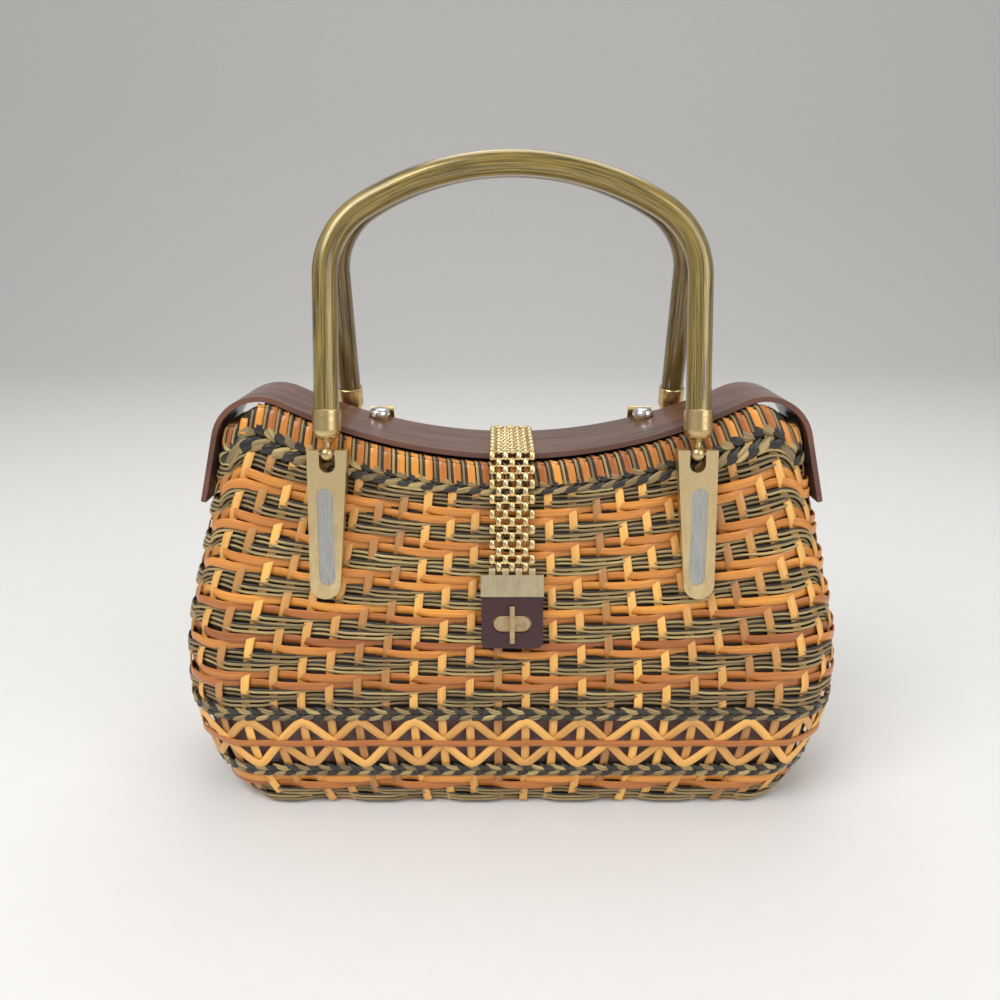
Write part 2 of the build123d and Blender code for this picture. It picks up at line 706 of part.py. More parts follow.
def link_columns(row):
    """Four links across on even rows and three on odd ones."""
    columns = (-1.5, -0.5, 0.5, 1.5) if row % 2 == 0 else (-1, 0, 1)
    return [column * LINK_SPACING for column in columns]


def strap_links(rows, pins):
    """The links of some rows and the wires that they turn on, as separate solids."""
    pieces = []
    for row in rows:
        (y0, z0), (y1, z1) = strap_pins[row], strap_pins[row + 1]
        long = sqrt((y1 - y0) ** 2 + (z1 - z0) ** 2)
        for x in link_columns(row):
            middle = Plane(
                origin=(x, (y0 + y1) / 2, (z0 + z1) / 2),
                x_dir=(0, y1 - y0, z1 - z0),
                z_dir=(1, 0, 0),
            )
            with BuildPart() as link:
                with BuildSketch(middle):
                    SlotCenterToCenter(long, 2 * LINK_END_R)
                    with Locations((-long / 2, 0), (long / 2, 0)):
                        Circle(LINK_PIN_R + FIT, mode=Mode.SUBTRACT)
                extrude(amount=LINK_W / 2, both=True)
            pieces.append(link.part.solid())
    for number in pins:
        with BuildPart() as wire:
            with BuildSketch(Plane.YZ):
                with Locations(strap_pins[number]):
                    Circle(LINK_PIN_R)
            extrude(amount=1.5 * LINK_SPACING + LINK_W / 2, both=True)
        pieces.append(wire.part.solid())
    return Compound(children=pieces)


save(
    strap_links(range(FIRST_LOOSE_ROW), range(FIRST_LOOSE_ROW + 1)),
    "mesh_over_lid",
)
segments = (LINK_ROWS - FIRST_LOOSE_ROW) // ROWS_PER_SEGMENT
for segment in range(segments):
    first = FIRST_LOOSE_ROW + segment * ROWS_PER_SEGMENT
    rows = range(first, first + ROWS_PER_SEGMENT)
    pins = range(first + 1, first + ROWS_PER_SEGMENT + 1)
    save(strap_links(rows, pins), f"mesh_drop_{segment + 1}")

anchor_y, anchor_z = strap_pins[0]
with BuildPart() as anchor:
    with BuildSketch(Plane.YZ):
        low_z = RIM_LOW + LID_GAP - 1.0
        Polygon(
            (lid_half(0) - 5.5, low_z),
            (lid_half(0) + 1.6, low_z),
            (lid_half(0) + 1.6, anchor_z),
            (anchor_y + LINK_END_R + 0.3, anchor_z),
            (anchor_y + LINK_END_R + 0.3, low_z + 1.5),
            (lid_half(0) - 5.5, low_z + 1.5),
            align=None,
        )
    extrude(amount=1.5 * LINK_SPACING, both=True)
    add(lid.part, mode=Mode.SUBTRACT)
    for column in (-1, 0, 1):
        with BuildSketch(Plane.YZ.offset(column * LINK_SPACING)):
            with Locations((anchor_y, anchor_z)):
                Circle(LINK_END_R)
            with Locations((anchor_y + 1.1, anchor_z)):
                Rectangle(2.2, 2 * LINK_END_R * 0.8)
            with Locations((anchor_y, anchor_z)):
                Circle(LINK_PIN_R + FIT, mode=Mode.SUBTRACT)
        extrude(amount=LINK_W / 2, both=True)
save(anchor.part, "strap_anchor")
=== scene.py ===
"""Looks for the woven basket box bag: canes, lashing, lattice, tube handles, strap and studio."""

import json
import logging
import math
import random
from dataclasses import dataclass
from enum import Enum
from typing import Callable, Iterable, Sequence

import bmesh
import bpy
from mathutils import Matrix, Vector

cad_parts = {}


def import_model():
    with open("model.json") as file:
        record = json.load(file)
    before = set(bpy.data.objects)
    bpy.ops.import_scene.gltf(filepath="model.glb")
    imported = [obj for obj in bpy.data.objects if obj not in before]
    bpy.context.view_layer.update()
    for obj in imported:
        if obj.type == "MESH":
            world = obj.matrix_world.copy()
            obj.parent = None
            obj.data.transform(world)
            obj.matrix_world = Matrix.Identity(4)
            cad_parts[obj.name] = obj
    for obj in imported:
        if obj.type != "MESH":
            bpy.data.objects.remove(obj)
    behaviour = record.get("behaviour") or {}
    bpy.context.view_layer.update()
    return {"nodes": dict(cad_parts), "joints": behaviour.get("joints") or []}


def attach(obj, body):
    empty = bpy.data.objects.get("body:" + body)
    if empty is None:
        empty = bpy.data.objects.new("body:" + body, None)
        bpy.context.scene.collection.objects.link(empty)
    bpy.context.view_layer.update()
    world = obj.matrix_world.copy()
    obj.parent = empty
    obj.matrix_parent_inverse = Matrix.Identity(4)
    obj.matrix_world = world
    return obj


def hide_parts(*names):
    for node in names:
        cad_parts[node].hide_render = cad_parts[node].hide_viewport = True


LOG = logging.getLogger("scene")
MM = 0.001
GIRTH_SCALE, TONE_SCALE = 4, 37.0  # how streaks vary round a cane and from cane to cane
MIX_A, MIX_B, MIX_RESULT = 6, 7, 2  # the colour sockets of a Mix node
TONE_VALUES, TONE_HUES = (0.62, 1.35), (0.488, 0.506)  # how far single canes differ
COAT_ROUGHNESS, ROUGHER, GRAIN_DEPTH = 0.12, 0.16, 0.0004
END_NAMES = ("front", "rear")

PathFn = Callable[[float], tuple[Vector, Vector]]
WidthFn = Callable[[float], float]


class Slot(str, Enum):
    """Material slots of the record."""

    CANE = "cane"
    LINING = "lining"
    LID = "lid_plastic"
    HANDLE = "handle_plastic"
    PLATE = "plate_gold"
    INLAY = "inlay_silver"
    STEEL = "fixing_steel"
    STUD = "stud_chrome"
    MESH = "mesh_gold"
    CLAMP = "clamp_gold"
    TAB = "tab_plastic"
    LOCK = "lock_gold"


@dataclass(frozen=True)
class Colour:
    """A linear colour."""

    r: float
    g: float
    b: float

    def rgba(self) -> tuple[float, float, float, float]:
        """Returns the colour with full alpha."""
        return (self.r, self.g, self.b, 1.0)


@dataclass(frozen=True)
class Finish:
    """What a surface looks like: two colours mixed by streaks, and how it shines."""

    light: Colour
    dark: Colour
    roughness: float
    metallic: float = 0.0
    coat: float = 0.0
    streak: tuple[float, float, float] = (60.0, 60.0, 60.0)
    contrast: float = 0.5
    bump: float = 0.05
    by_cane: bool = False


FINISHES: dict[str, tuple[Slot, Finish]] = {
    "orange_cane": (
        Slot.CANE,
        Finish(
            Colour(0.66, 0.255, 0.040), Colour(0.36, 0.105, 0.018), 0.34, coat=0.3,
            streak=(0.05, 2.2, 1.0), contrast=0.55, bump=0.12, by_cane=True,
        ),
    ),
    "stake_cane": (
        Slot.CANE,
        Finish(
            Colour(0.76, 0.40, 0.105), Colour(0.50, 0.22, 0.05), 0.4, coat=0.2,
            streak=(0.05, 1.6, 1.0), contrast=0.5, bump=0.12, by_cane=True,
        ),
    ),
    "cream_reed": (
        Slot.CANE,
        Finish(
            Colour(0.47, 0.34, 0.14), Colour(0.05, 0.036, 0.016), 0.45, coat=0.15,
            streak=(0.05, 1.5, 1.0), contrast=0.75, bump=0.1, by_cane=True,
        ),
    ),
    "black_reed": (
        Slot.CANE,
        Finish(
            Colour(0.028, 0.022, 0.016), Colour(0.008, 0.007, 0.006), 0.35, coat=0.25,
            streak=(0.05, 1.5, 1.0), contrast=0.6, bump=0.1, by_cane=True,
        ),
    ),
    # painted shade: the near-black finish of the sheets behind the weaving and of the rim's
    # filling
    "shadow_core": (
        Slot.CANE,
        Finish(Colour(0.03, 0.018, 0.01), Colour(0.012, 0.008, 0.005), 0.85),
    ),
    "lining": (
        Slot.LINING,
        Finish(
            Colour(0.27, 0.165, 0.15), Colour(0.17, 0.10, 0.095), 0.9,
            streak=(900.0, 900.0, 900.0), bump=0.3,
        ),
    ),
    "lid": (
        Slot.LID,
        Finish(
            Colour(0.17, 0.062, 0.034), Colour(0.045, 0.018, 0.012), 0.3, coat=0.3,
            streak=(9.0, 160.0, 60.0), contrast=0.7, bump=0.03,
        ),
    ),
    "handle": (
        Slot.HANDLE,
        Finish(
            Colour(0.33, 0.225, 0.05), Colour(0.006, 0.005, 0.003), 0.2, metallic=0.35, coat=0.8,
            streak=(0.05, 5.5, 1.0), contrast=0.96, bump=0.02, by_cane=True,
        ),
    ),
    "ferrule": (
        Slot.PLATE,
        Finish(
            Colour(0.66, 0.50, 0.25), Colour(0.42, 0.29, 0.13), 0.24, 1.0,
            streak=(120.0, 120.0, 500.0), contrast=0.5,
        ),
    ),
    "plate": (
        Slot.PLATE,
        Finish(
            Colour(0.86, 0.67, 0.36), Colour(0.40, 0.27, 0.13), 0.3, 1.0,
            streak=(210.0, 210.0, 90.0), contrast=0.45, bump=0.06,
        ),
    ),
    "inlay": (
        Slot.INLAY,
        Finish(
            Colour(0.52, 0.51, 0.48), Colour(0.30, 0.30, 0.29), 0.38, 0.9,
            streak=(900.0, 900.0, 30.0), contrast=0.6,
        ),
    ),
    "steel": (Slot.STEEL, Finish(Colour(0.5, 0.48, 0.44), Colour(0.3, 0.28, 0.25), 0.35, 1.0)),
    "chrome": (Slot.STUD, Finish(Colour(0.86, 0.85, 0.83), Colour(0.6, 0.58, 0.55), 0.1, 1.0)),
    "bead": (
        Slot.MESH,
        Finish(Colour(0.86, 0.69, 0.38), Colour(0.55, 0.38, 0.17), 0.16, 1.0, contrast=0.4),
    ),
    "clamp": (
        Slot.CLAMP,
        Finish(
            Colour(0.82, 0.70, 0.46), Colour(0.42, 0.31, 0.18), 0.3, 1.0,
            streak=(300.0, 120.0, 90.0), contrast=0.65, bump=0.08,
        ),
    ),
    "tab": (
        Slot.TAB,
        Finish(
            Colour(0.055, 0.012, 0.014), Colour(0.018, 0.006, 0.007), 0.18, coat=0.8,
            streak=(40.0, 40.0, 220.0), bump=0.04,
        ),
    ),
    "lock": (
        Slot.LOCK,
        Finish(
            Colour(0.80, 0.60, 0.34), Colour(0.34, 0.20, 0.12), 0.27, 1.0,
            streak=(260.0, 260.0, 260.0), contrast=0.6, bump=0.05,
        ),
    ),
}
FLOOR = Finish(Colour(0.80, 0.79, 0.77), Colour(0.78, 0.77, 0.75), 0.75, bump=0.0)


class Shader:
    """Builds one material from a finish."""

    def __init__(self, name: str, finish: Finish) -> None:
        """Makes an empty node material.

        Args:
            name: the material's name.
            finish: what it looks like.
        """
        self.finish = finish
        self.material = bpy.data.materials.new(name)
        self.material.use_nodes = True
        self.tree = self.material.node_tree
        self.tree.nodes.clear()

    def node(self, kind: str, **sockets: object) -> bpy.types.Node:
        """Adds a node and sets its inputs by name.

        Args:
            kind: Blender's node type.
            sockets: input names, with underscores for spaces, and their values.

        Returns:
            The new node.
        """
        made = self.tree.nodes.new(kind)
        for key, value in sockets.items():
            made.inputs[key.replace("_", " ")].default_value = value
        return made

    def link(self, source: bpy.types.NodeSocket, target: bpy.types.NodeSocket) -> None:
        """Joins two sockets."""
        self.tree.links.new(source, target)

    def place(self) -> bpy.types.NodeSocket:
        """The coordinate that the streaks follow.

        Returns:
            Object coordinates, or the cane's own length and girth.
        """
        if not self.finish.by_cane:
            return self.node("ShaderNodeTexCoord").outputs["Object"]
        parts = [self.node("ShaderNodeAttribute") for _ in range(3)]
        join = self.node("ShaderNodeCombineXYZ")
        for part, name, axis in zip(parts, ("along", "girth", "tone"), "XYZ"):
            part.attribute_name = name
            self.link(part.outputs["Fac"], join.inputs[axis])
        return join.outputs["Vector"]

    def streaks(self) -> bpy.types.NodeSocket:
        """A mask of long streaks.

        Returns:
            The mask's socket, from 0 to 1.
        """
        mapping = self.node("ShaderNodeMapping", Scale=self.finish.streak)
        if self.finish.by_cane:
            x, y, z = self.finish.streak
            mapping.inputs["Scale"].default_value = (x / MM, y * GIRTH_SCALE, TONE_SCALE)
        self.link(self.place(), mapping.inputs["Vector"])
        noise = self.node("ShaderNodeTexNoise", Scale=1.0, Detail=6.0, Roughness=0.6)
        self.link(mapping.outputs["Vector"], noise.inputs["Vector"])
        ramp = self.node("ShaderNodeMapRange", From_Min=0.36, From_Max=0.66)
        self.link(noise.outputs["Fac"], ramp.inputs["Value"])
        return ramp.outputs["Result"]

    def build(self) -> bpy.types.Material:
        """Makes the nodes.

        Returns:
            The finished material.
        """
        f = self.finish
        mask = self.streaks()
        amount = self.node("ShaderNodeMath")
        amount.operation = "MULTIPLY"
        amount.inputs[1].default_value = f.contrast
        self.link(mask, amount.inputs[0])
        mix = self.node("ShaderNodeMix")
        mix.data_type = "RGBA"
        mix.inputs[MIX_A].default_value = f.light.rgba()
        mix.inputs[MIX_B].default_value = f.dark.rgba()
        self.link(amount.outputs["Value"], mix.inputs[0])
        colour = mix.outputs[MIX_RESULT]
        if f.by_cane:
            tone = self.node("ShaderNodeAttribute")
            tone.attribute_name = "tone"
            low, high = TONE_VALUES
            value = self.node("ShaderNodeMapRange", To_Min=low, To_Max=high)
            self.link(tone.outputs["Fac"], value.inputs["Value"])
            low, high = TONE_HUES
            hue = self.node("ShaderNodeMapRange", To_Min=low, To_Max=high)
            self.link(tone.outputs["Fac"], hue.inputs["Value"])
            shift = self.node("ShaderNodeHueSaturation")
            self.link(hue.outputs["Result"], shift.inputs["Hue"])
            self.link(value.outputs["Result"], shift.inputs["Value"])
            self.link(colour, shift.inputs["Color"])
            colour = shift.outputs["Color"]
        bsdf = self.node("ShaderNodeBsdfPrincipled", Metallic=f.metallic, Coat_Weight=f.coat)
        bsdf.inputs["Coat Roughness"].default_value = COAT_ROUGHNESS
        self.link(colour, bsdf.inputs["Base Color"])
        rough = self.node("ShaderNodeMapRange", To_Min=f.roughness, To_Max=f.roughness + ROUGHER)
        self.link(mask, rough.inputs["Value"])
        self.link(rough.outputs["Result"], bsdf.inputs["Roughness"])
        if f.bump:
            bump = self.node("ShaderNodeBump", Strength=f.bump, Distance=GRAIN_DEPTH)
            self.link(mask, bump.inputs["Height"])
            self.link(bump.outputs["Normal"], bsdf.inputs["Normal"])
        out = self.node("ShaderNodeOutputMaterial")
        self.link(bsdf.outputs["BSDF"], out.inputs["Surface"])
        return self.material


class Paint:
    """Gives pieces their finish, making each material once."""

    def __init__(self) -> None:
        """Starts with no materials."""
        self.made: dict[str, bpy.types.Material] = {}

    def apply(self, obj: bpy.types.Object, name: str) -> bpy.types.Object:
        """Paints a piece.

        Args:
            obj: the piece.
            name: a key of FINISHES.

        Returns:
            The piece.
        """
        slot, finish = FINISHES[name]
        if name not in self.made:
            self.made[name] = Shader(name, finish).build()
        obj.data.materials.clear()
        obj.data.materials.append(self.made[name])
        return obj


# --- The basket's wall, in millimetres ---------------------------------------------------
RIM_LOW, SADDLE_R, SHOULDER_X, SHOULDER_R = 150.0, 226.0, 104.0, 18.0
WEAVE_LOW, BRAID_HIGH_Z, LATTICE_TOP, LATTICE_LOW, BRAID_LOW_Z = 50.0, 46.8, 44.2, 22.4, 19.3
HALF_WIDTH = (143.4, 60.0, 0.0054, 0.0045, 0.26)  # peak, its height, curves below and above, slope
HALF_DEPTH = (48.0, 35.0, 0.0033, 0.0034, 0.235)
CORNER = 0.62  # corner radius as a share of the half depth
RIM_TALL, WEAVE_OFF, TOP_STEPS = 8.0, -1.35, 720
STAKES = 60


def eased(z: float, peak: float, at: float, low: float, high: float, slope: float) -> float:
    """A half size at height z: a parabola about the belly that runs on straight."""
    if z < at:
        return peak - low * (at - z) ** 2
    bend = slope / (2 * high)
    rise = z - at
    if rise <= bend:
        return peak - high * rise**2
    return peak - high * bend**2 - slope * (rise - bend)


def half_width(z: float) -> float:
    """The body's half width at height z."""
    return eased(z, *HALF_WIDTH)


def half_depth(z: float) -> float:
    """The body's half depth at height z."""
    return eased(z, *HALF_DEPTH)


def rim_height(x: float, gap: float) -> float:
    """Height of the saddle curve raised by gap, at a distance x from the middle."""
    x = abs(x)
    centre = RIM_LOW + SADDLE_R
    turn = math.asin(SHOULDER_X / (SADDLE_R + SHOULDER_R))
    low = centre - (SADDLE_R + SHOULDER_R) * math.cos(turn)
    reach = SHOULDER_R + gap
    if x <= SHOULDER_X - reach * math.sin(turn):
        return centre - math.sqrt((SADDLE_R - gap) ** 2 - x * x)
    lean = math.atan(HALF_WIDTH[-1])
    end = SHOULDER_X + reach * math.cos(lean)
    if x <= end:
        return low + math.sqrt(max(0.0, reach**2 - (x - SHOULDER_X) ** 2))
    return low + reach * math.sin(lean) - 0.2 * (x - end)


def wall(share: float, z: float, off: float) -> tuple[Vector, Vector]:
    """A point on the wall.

    Args:
        share: place round the perimeter, from 0 to 1, starting at the middle of the front
            and going to the right.
        z: height.
        off: distance out from the wall.

    Returns:
        The point in metres and the outward normal.
    """
    depth = half_depth(z)
    width = half_width(z)
    radius = CORNER * depth
    flat_x, flat_y = width - radius, depth - radius
    corner = radius * math.pi / 2
    quarter = flat_x + corner + flat_y
    turn = (share % 1.0) * 4
    quadrant = int(turn)
    along = (turn - quadrant) * quarter
    if quadrant % 2:
        along = quarter - along
    if along <= flat_x:
        x, y, nx, ny = along, depth, 0.0, 1.0
    elif along <= flat_x + corner:
        a = (along - flat_x) / radius
        nx, ny = math.sin(a), math.cos(a)
        x, y = flat_x + radius * nx, flat_y + radius * ny
    else:
        x, y, nx, ny = width, flat_y - (along - flat_x - corner), 1.0, 0.0
    sx = 1 if quadrant in (0, 1) else -1
    sy = -1 if quadrant in (0, 3) else 1
    normal = Vector((sx * nx, sy * ny, 0.0))
    return Vector((sx * x, sy * y, z)) * MM + normal * off * MM, normal


def top_at(share: float) -> float:
    """Height of the rim binding's lower edge at a place round the perimeter."""
    z = RIM_LOW
    for _ in range(3):
        z = rim_height(wall(share, z, 0)[0].x / MM, -RIM_TALL)
    return z


TOPS = [top_at(i / TOP_STEPS) for i in range(TOP_STEPS + 1)]


def band_extra(share: float) -> float:
    """How much taller the band under the rim is towards the raised ends, in millimetres."""
    return 5.0 * min(1.0, max(0.0, (smooth_top(share) - 142.0) / 20.0))


def smooth_top(share: float) -> float:
    """The lower edge of the rim binding, read from the table of heights."""
    place = (share % 1.0) * TOP_STEPS
    low = int(place)
    return TOPS[low] + (TOPS[(low + 1) % TOP_STEPS] - TOPS[low]) * (place - low)


# --- Canes -------------------------------------------------------------------------------
class Canes:
    """One piece made of many canes, each a thin tube with its own tone."""

    def __init__(self, name: str, seed: int) -> None:
        """Starts an empty piece.

        Args:
            name: the piece's name.
            seed: where its random tones start.
        """
        self.name = name
        self.chance = random.Random(seed)
        self.bm = bmesh.new()
        layers = self.bm.verts.layers.float
        self.along = layers.new("along")
        self.girth = layers.new("girth")
        self.tone = layers.new("tone")

    def cane(
        self, path: PathFn, steps: int, width: float | WidthFn, thick: float, closed: bool = False,
        sides: int = 8, taper: float = 0.0, square: float = 0.45,
    ) -> None:
        """Adds a cane that follows a path.

        Args:
            path: gives a point and the outward normal from 0 to 1 along.
            steps: lengths along it.
            width: across the surface, in millimetres, the same all along or from 0 to 1 along.
            thick: out of the surface, in millimetres.
            closed: whether it runs into its own start.
            sides: facets round it.
            taper: how far its ends narrow, from 0 to 1.
            square: how round its section is, from 0 for a box to 1 for an oval.
        """
        tone = self.chance.random()
        start = self.chance.uniform(0, 5)
        centres = [path(i / steps) for i in range(steps + 1)]
        if closed:
            centres[-1] = centres[0]
        widths = [width(i / steps) if callable(width) else width for i in range(steps + 1)]
        frames, run, last = [], 0.0, centres[0][0]
        for i, (point, normal) in enumerate(centres):
            before = centres[i - 1 if i else (steps - 1 if closed else 0)][0]
            after = centres[i + 1 if i < steps else (1 if closed else steps)][0]
            ahead = (after - before).normalized()
            across = ahead.cross(normal).normalized()
            run += (point - last).length
            last = point
            frames.append((point, normal, across, run))
        grid = bmesh.ops.create_grid(self.bm, x_segments=steps, y_segments=sides, size=1.0)
        for vert in grid["verts"]:
            i = round((vert.co.x + 1) / 2 * steps)
            j = round((vert.co.y + 1) / 2 * sides)
            point, normal, across, run = frames[i]
            angle = 2 * math.pi * j / sides
            slim = 1 - taper * abs(2 * i / steps - 1) ** 3
            flat = math.copysign(abs(math.cos(angle)) ** square, math.cos(angle))
            crown = math.copysign(abs(math.sin(angle)) ** square, math.sin(angle))
            out = across * (flat * widths[i] * slim / 2) + normal * (crown * thick * slim / 2)
            vert.co = point + out * MM
            vert[self.along] = start + run
            vert[self.girth] = math.sin(angle / 2)
            vert[self.tone] = tone

    def object(self, paint: Paint, finish: str, body: str) -> bpy.types.Object:
        """Makes the piece.

        Args:
            paint: gives its finish.
            finish: a key of FINISHES.
            body: the body it rides.

        Returns:
            The new piece.
        """
        bmesh.ops.remove_doubles(self.bm, verts=self.bm.verts, dist=1e-7)
        bmesh.ops.recalc_face_normals(self.bm, faces=self.bm.faces)
        for face in self.bm.faces:
            face.smooth = True
        mesh = bpy.data.meshes.new(self.name)
        self.bm.to_mesh(mesh)
        self.bm.free()
        obj = bpy.data.objects.new(self.name, mesh)
        bpy.context.scene.collection.objects.link(obj)
        paint.apply(obj, finish)
        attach(obj, body)
        LOG.info("%s: %d faces", self.name, len(mesh.polygons))
        return obj


def weave_wave(share: float, row: int) -> float:
    """How far out a weaver is: over two stakes, then under two, from -1 to 1."""
    turn = 2 * math.pi * (share * STAKES - row) / 4 - math.pi / 4
    return max(-1.0, min(1.0, 1.7 * math.cos(turn)))


@dataclass(frozen=True)
class Field:
    """Rows of weaving between two heights."""

    low: Callable[[float], float]
    high: Callable[[float], float]
    rows: int
    first: int = 0

    def row_z(self, share: float, row: float) -> float:
        """Height of a row at a place round the perimeter."""
        low, high = self.low(share), self.high(share)
        return low + (high - low) * (row + 0.5) / self.rows

    def spacing(self, share: float) -> float:
        """Height of one row at a place round the perimeter."""
        return (self.high(share) - self.low(share)) / self.rows

    def path(self, row: int, shift: float = 0.0, reach: float = 1.15) -> PathFn:
        """A weaver's path.

        Args:
            row: which row.
            shift: up or down within the row, as a share of it.
            reach: how far it moves in and out, in millimetres.

        Returns:
            The path round the whole basket.
        """
        def at(t: float) -> tuple[Vector, Vector]:
            z = self.row_z(t, row + shift)
            return wall(t, z, WEAVE_OFF + reach * weave_wave(t, row + self.first))

        return at


class Basket:
    """The woven body with its rim, braids and open lattice."""

    def __init__(self, paint: Paint) -> None:
        """Plans the fields of weaving.

        Args:
            paint: gives the finishes.
        """
        self.paint = paint
        self.main = Field(
            lambda s: WEAVE_LOW, lambda s: smooth_top(s) - 3.4 - band_extra(s), 26, 2
        )
        self.foot = Field(lambda s: 1.6, lambda s: BRAID_LOW_Z - 3.0, 4, 2)

    def weavers(self) -> None:
        """Adds the flat canes and the pairs of thin reeds, two rows of each in turn."""
        flat, reeds = Canes("weave_flat_canes", 3), Canes("weave_reeds", 4)
        dark = Canes("weave_dark_reeds", 12)
        steps = STAKES * 6
        for field in (self.main, self.foot):
            for row in range(field.rows):
                if (row + field.first) % 4 < 2:
                    flat.cane(
                        field.path(row), steps, lambda t, f=field: 1.05 * f.spacing(t), 0.85, True
                    )
                else:
                    for shift in (-0.27, 0.23):
                        reeds.cane(field.path(row, shift), steps, 1.3, 1.1, True, 6, 0, 0.9)
                    dark.cane(field.path(row, 0.5), steps, 0.8, 0.8, True, 5, 0, 0.9)
        flat.object(self.paint, "orange_cane", "basket")
        reeds.object(self.paint, "cream_reed", "basket")
        dark.object(self.paint, "black_reed", "basket")

    def stakes(self) -> None:
        """Adds the upright canes that the rows pass over and under."""
        stakes = Canes("stakes", 5)
        for number in range(STAKES):
            share = (number + 0.5) / STAKES

            def at(t: float, share: float = share, number: int = number):
                low, high = (1.5, smooth_top(share) + 2)
                z = low + (high - low) * t
                row = (z - WEAVE_LOW) / self.main.spacing(share) - 0.5 + self.main.first
                wave = -weave_wave(share, row) if z > WEAVE_LOW else 0.3 - (number % 2)
                return wall(share, z, WEAVE_OFF + 0.55 * wave)

            stakes.cane(at, 110, 3.6, 0.75)
        stakes.object(self.paint, "stake_cane", "basket")

    def lattice(self) -> None:
        """Adds the open band: crossing canes and one cane round its middle."""
        cross = Canes("lattice_canes", 6)
        middle = (LATTICE_LOW + LATTICE_TOP) / 2
        tall = (LATTICE_TOP - LATTICE_LOW) / 2 - 0.6
        for lean in (1, -1):

            def at(t: float, lean: int = lean) -> tuple[Vector, Vector]:
                peak = math.cos(math.pi * (t * STAKES - 0.5) / 2)
                turn = math.asin(0.96 * peak) / math.asin(0.96)
                return wall(t, middle + lean * tall * turn, -0.9 + 0.9 * abs(turn) + 0.25 * lean)

            cross.cane(at, STAKES * 8, 3.7, 0.8, True)
        cross.object(self.paint, "stake_cane", "basket")
        hoop = Canes("lattice_hoop", 13)
        hoop.cane(
            lambda t: wall(t, middle, 0.15 + 0.3 * math.cos(math.pi * t * STAKES)),
            STAKES * 6, 3.0, 0.8, True,
        )
        hoop.object(self.paint, "orange_cane", "basket")

    def braids(self) -> None:
        """Adds the twined braids: two lines of short strands with opposite slants."""
        pair = (Canes("braids_light", 7), Canes("braids_dark", 14))
        bands = (
            (lambda s: smooth_top(s) - 1.6 - 0.5 * band_extra(s), band_extra, 118),
            (lambda s: BRAID_HIGH_Z, lambda s: 0.0, 148),
            (lambda s: BRAID_LOW_Z, lambda s: 0.0, 148),
        )
        for height, extra, count in bands:
            for level in (-1, 1):
                for number in range(count):
                    middle = (number + (0.5 if level > 0 else 0.0)) / count

                    def at(
                        t: float, middle=middle, level=level, height=height, extra=extra, n=count
                    ) -> tuple[Vector, Vector]:
                        share = middle + (t - 0.5) * 1.8 / n
                        tall = 1.7 + 0.4 * extra(middle)
                        z = height(share) + level * tall * 0.8 - level * (t - 0.5) * tall * 1.3
                        return wall(share, z, -0.9 + 1.15 * math.sin(math.pi * t))

                    wide = 2.4 + 0.45 * extra(middle)
                    pair[number % 2].cane(at, 6, wide, 1.1, False, 6, 0.5, 0.7)
        pair[0].object(self.paint, "cream_reed", "basket")
        pair[1].object(self.paint, "black_reed", "basket")

    def lashing(self) -> None:
        """Adds the rim's wrapping: one flat cane and two reeds in each turn."""
        flat, reeds, dark = Canes("rim_wraps", 8), Canes("rim_reeds", 9), Canes("rim_dark", 15)
        count = 98
        loop = (
            (0.55, -0.6), (0.85, 1.5), (0.9, 4.0), (0.75, 6.3), (0.0, 7.6), (-1.6, 7.95),
            (-3.4, 7.7), (-4.5, 6.4), (-4.75, 4.0), (-4.6, 1.0),
        )
        for number in range(count):
            for slot, (place, width, thick) in enumerate(
                ((0.0, 3.4, 0.75), (0.46, 1.2, 1.0), (0.64, 0.9, 0.9))
            ):
                share = (number + place) / count

                def at(t: float, share: float = share):
                    place_in = t * (len(loop) - 1)
                    low = min(int(place_in), len(loop) - 2)
                    part = place_in - low
                    off = loop[low][0] + (loop[low + 1][0] - loop[low][0]) * part
                    up = loop[low][1] + (loop[low + 1][1] - loop[low][1]) * part
                    shift = share + (0.5 - t) * 0.5 / count
                    base = smooth_top(shift)
                    point, out = wall(shift, base + up, off - 0.3)
                    lean = math.radians(min(180.0, max(0.0, (t - 0.28) / 0.4 * 180)))
                    normal = out * math.cos(lean) + Vector((0, 0, math.sin(lean)))
                    return point, normal

                (flat, reeds, dark)[slot].cane(at, 18, width, thick, False, 6)
        flat.object(self.paint, "orange_cane", "basket")
        reeds.object(self.paint, "cream_reed", "basket")
        dark.object(self.paint, "black_reed", "basket")

    def core(self) -> None:
        """Adds painted shade: near-black sheets behind the close weaving, and the rim's filling in
        the same dark finish, which shades the gaps between the wraps.
        """
        # painted shade: dark sheets just behind the weaving, so the gaps between canes read as
        # shaded
        core = Canes("weave_painted_shade", 10)
        spans = (
            (lambda s: WEAVE_LOW - 1, lambda s: smooth_top(s) + 0.5, 26),
            (lambda s: 1.8, lambda s: BRAID_LOW_Z + 1.5, 5),
        )
        for low, high, rows in spans:
            for row in range(rows):
                def at(t: float, low=low, high=high, row=row, rows=rows):
                    bottom, top = low(t), high(t)
                    return wall(t, bottom + (top - bottom) * (row + 0.5) / rows, -3.2)

                core.cane(at, STAKES * 3, 5.2, 0.9, True)
        # the rim's filling, coloured near-black as painted shade inside the wraps
        for up in (2.0, 5.6):
            core.cane(lambda t, up=up: wall(t, smooth_top(t) + up, -2.1), 360, 4.6, 4.4, True, 8)
        core.object(self.paint, "shadow_core", "basket")

    def base(self) -> bpy.types.Object:
        """Adds the woven base.

        Returns:
            The base's piece, which stands for the basket's solid.
        """
        base = Canes("base_weave", 11)
        for number in range(-22, 23):
            y = number * 1.95
            half = half_width(1.5) - 3.0
            depth = half_depth(1.5)
            radius = CORNER * depth
            if abs(y) > depth - radius:
                reach = math.sqrt(max(0.0, radius**2 - (abs(y) - depth + radius) ** 2))
                half = half_width(1.5) - radius + reach - 3.0
            if abs(y) > depth - 3:
                continue

